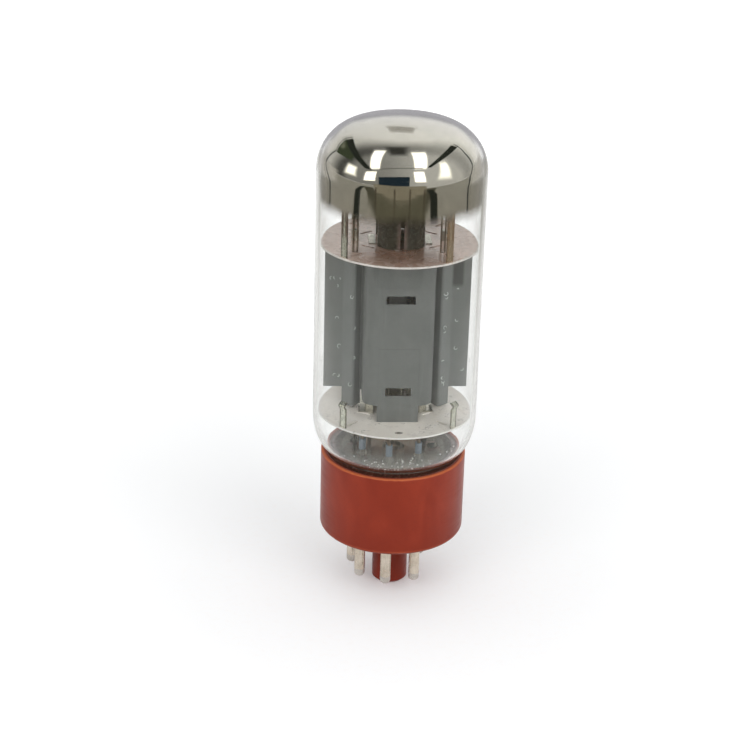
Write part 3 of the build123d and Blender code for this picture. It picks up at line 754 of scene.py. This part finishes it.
def softbox(name, middle, width, height, strength):
    """A soft lamp for the matte surfaces, which no mirror shows.

    Its middle is (azimuth, elevation) from the dome."""
    p = Paint(name + "_cloth")
    colour = woven(p, (0.96, 0.97, 1.0), (1.0, 1.0, 1.0))
    p.surface(p.node("ShaderNodeEmission", Color=colour, Strength=strength))
    centre = direction(*middle)
    across = centre.cross(Vector((0, 0, 1))).normalized() * width / 2
    upward = across.cross(centre).normalized() * height / 2
    centre = DOME + centre * LAMP_DISTANCE
    signs = ((-1, -1), (1, -1), (1, 1), (-1, 1))
    points = [tuple(centre + across * i + upward * j) for i, j in signs]
    made = staged(name, points, [(0, 1, 2, 3)], p.material)
    unseen(made, "camera", "glossy", "transmission", "shadow")


softbox("lamp_front_left", (212, 24), 0.7, 0.55, 3.2)
softbox("lamp_front_right", (142, 22), 0.7, 0.55, 3.2)

WARM = (3.1, 3.0, 2.75)
card("light_left_high", [(294, 66), (305, 77), (218, 36), (234, 30)], WARM, soft=0.34)
card("light_right_high", [(72, 84), (77, 70), (143, 38), (165, 41)], WARM, soft=0.34)
card("light_left_low", [(239, 26), (222, 33), (220, 9), (238, 5)], WARM, soft=0.24)
card("light_right_low", [(167, 39), (149, 37), (150, 10), (167, 12)], WARM, soft=0.24)
card("light_side_left", [(275, 28), (254, 30), (246, 7), (272, 4)], WARM, soft=0.8)
card("light_side_right", [(109, 52), (99, 46), (111, 3), (139, 9)], WARM, soft=0.8)

BLACK = (0.030, 0.034, 0.028)
OVERHEAD = (0.05, 0.05, 0.045)
NIGHT_BLUE = (0.02, 0.034, 0.05)
OLIVE = (0.06, 0.075, 0.045)
OLIVE_LIT = (0.22, 0.23, 0.17)
card("flag_overhead", [(325, 65.5), (20, 68.5), (156, 74), (227, 69)], OVERHEAD, 0.7, soft=0.65)
card("flag_camera", [(217, 20), (173, 26), (174, 3.8), (215, 1.8)], NIGHT_BLUE, 0.7)
card("flag_left", [(306, 20), (326, 32), (284, 49), (271, 32)], OLIVE, 0.72)
card("flag_left_patch", [(312, 24), (324, 31), (310, 37), (300, 30)], OLIVE_LIT, 0.715, soft=0.9)
card("flag_left_bar", [(325, 33), (329, 39), (231, 32), (243, 31)], BLACK, 0.7)
card("flag_right_bar", [(50, 44), (54, 37), (134, 42), (142, 43)], BLACK, 0.7)
card("flag_line", [(222, 38), (148, 44), (149, 42.5), (221, 36.5)], (0.16, 0.16, 0.14), 0.7)

TABLE_FAR = (0.29, 0.26, 0.20)
TABLE_NEAR = (0.145, 0.137, 0.100)
RAIL = (0.08, 0.065, 0.045)
FLARE = (0.10, 0.095, 0.07)
card("flag_table_far", [(223, 3), (150, 3), (151, -17), (219, -17)], TABLE_FAR, 0.24, soft=0.1)
corners = [(220, -14.6), (150, -14.6), (151, -24), (219, -24)]
card("flag_table", corners, TABLE_NEAR, 0.235, soft=0.12)
for n, azimuth in enumerate((218, 193, 173, 154)):
    corners = [(azimuth + 1.5, -1), (azimuth - 1.5, -1), (azimuth - 2, -23), (azimuth + 2, -23)]
    card(f"flag_rail_{n}", corners, RAIL, 0.225, soft=0.9)
corners = [(236, -5), (221, -5), (215.5, -20.5), (230, -18.6)]
card("flag_flare_left", corners, FLARE, 0.245, soft=0.2)
corners = [(152, -3), (137, -3), (143.5, -18.6), (157, -20.5)]
card("flag_flare_right", corners, FLARE, 0.245, soft=0.2)
card("flag_leg_left", [(240, -7), (233, -5), (243, -22.5), (254, -22.5)], BLACK, 0.24, soft=0.2)
card("flag_leg_right", [(153, -7), (144, -6), (131, -22.5), (143, -22.5)], BLACK, 0.24, soft=0.2)

WALL = (0.5, 0.48, 0.44)
HORIZON = (0.43, 0.42, 0.44)
PAPER = (0.62, 0.60, 0.57)
card("flag_behind", [(358.2, 29), (9.3, 31), (8.6, 39.5), (358.8, 38.5)], WALL, 0.7, soft=0.3)
card("flag_horizon", [(328, 14), (40, 15), (40, -14), (328, -14)], HORIZON, 0.55, soft=0.5)
card("flag_floor_left", [(275, 6), (338, 6), (338, -17), (275, -17)], PAPER, 0.33, soft=0.5)
card("flag_floor_right", [(38, 8), (88, 8), (88, -17), (38, -17)], PAPER, 0.33, soft=0.5)

# dark bands down either side of the dome, each a chain of short cards
EDGE_WIDTH = 3
EDGES = [
    [(329, 37), (321, 28), (305, 20), (309, 0), (305, -5), (298, -11), (294, -18), (294, -22)],
    [(51, 41), (67, 27), (72, 9), (84, -4), (86, -18), (85, -22)],
]
for side, edge in enumerate(EDGES):
    width = -EDGE_WIDTH if side else EDGE_WIDTH
    for i, (start, end) in enumerate(zip(edge, edge[1:])):
        corners = [start, (start[0] + width, start[1]), (end[0] + width, end[1]), end]
        card(f"flag_edge_{side}_{i}", corners, BLACK, 0.25)


def table():
    """Dim table top round the paper, which only mirrors show."""
    p = Paint("table_wood")
    grain = p.remap(p.noise(30, 3, (1, 8, 1)), 0.3, 0.7, 0, 1)
    colour = p.mix(grain, (0.33, 0.32, 0.29), (0.40, 0.385, 0.35))
    forward = p.math("SUBTRACT", -15.0, p.axis("Y"))
    sideways = p.math("SUBTRACT", p.size_of(p.axis("X")), 75.0)
    cover = p.remap(p.math("MAXIMUM", forward, sideways), 0, 110, 0, 1)
    cover = p.math("MULTIPLY", cover, p.remap(p.axis("Y"), 700, 1100, 1, 0))
    wood = p.node("ShaderNodeEmission", Color=colour, Strength=1.0)
    mirror_only(p, p.blend(cover, p.node("ShaderNodeBsdfTransparent"), wood))
    made = staged("table", square(TABLE_HALF, TABLE_Z), [(0, 1, 2, 3)], p.material)
    unseen(made, "camera", "shadow", "diffuse")


table()


def studio():
    """White paper to the camera, a dimmer room to mirrors, and pale daylight to the rest."""
    world = bpy.data.worlds.new("studio")
    bpy.context.scene.world = world
    world.use_nodes = True
    w = Nodes(world.node_tree)
    way = w.node("ShaderNodeSeparateXYZ", Vector=w.node("ShaderNodeTexCoord").outputs["Generated"])
    behind = w.remap(way.outputs["Y"], 0.17, 0.74, 0.25, 0.94, smooth=True)
    in_front = w.remap(way.outputs["Y"], 0.10, -0.15, 0.0, 0.19, smooth=True)
    to_right = w.remap(way.outputs["X"], -0.8, 0.8, -0.15, 0.19, smooth=True)
    level = w.math("ADD", w.math("ADD", behind, in_front), to_right)
    room = w.node("ShaderNodeBackground", Color=(1.0, 0.985, 0.96), Strength=level)
    paper = w.node("ShaderNodeBackground", Color=(1.0, 1.0, 1.0))
    air = w.node("ShaderNodeBackground", Color=(0.975, 0.99, 1.0), Strength=0.78)
    path = w.node("ShaderNodeLightPath").outputs
    seen = w.math("MAXIMUM", path["Is Camera Ray"], path["Is Transmission Ray"])
    mirrored = w.math("GREATER_THAN", path["Glossy Depth"], 0.5)
    light = w.blend(mirrored, w.blend(seen, air, paper), room)
    w.node("ShaderNodeOutputWorld", Surface=light.outputs[0])


studio()

camera_data = bpy.data.cameras.new("camera")
camera_data.lens = 88.93
camera_data.sensor_width = 36
camera_data.clip_start = 0.01
camera_data.clip_end = 20
camera = bpy.data.objects.new("camera", camera_data)
bpy.context.scene.collection.objects.link(camera)
yaw, pitch, roll = 0.06415, 0.419, 0.0276  # radians
forward = Vector((sin(yaw) * cos(pitch), cos(yaw) * cos(pitch), -sin(pitch)))
level_right = Vector((cos(yaw), -sin(yaw), 0))
level_up = level_right.cross(forward)
right = level_right * cos(roll) + level_up * sin(roll)
up = level_up * cos(roll) - level_right * sin(roll)
place = Vector((-28.32, -370.84, 216.01)) * MM
camera.matrix_world = Matrix((
    (right.x, up.x, -forward.x, place.x),
    (right.y, up.y, -forward.y, place.y),
    (right.z, up.z, -forward.z, place.z),
    (0, 0, 0, 1),
))
bpy.context.scene.camera = camera
bpy.context.scene.view_settings.view_transform = "Standard"
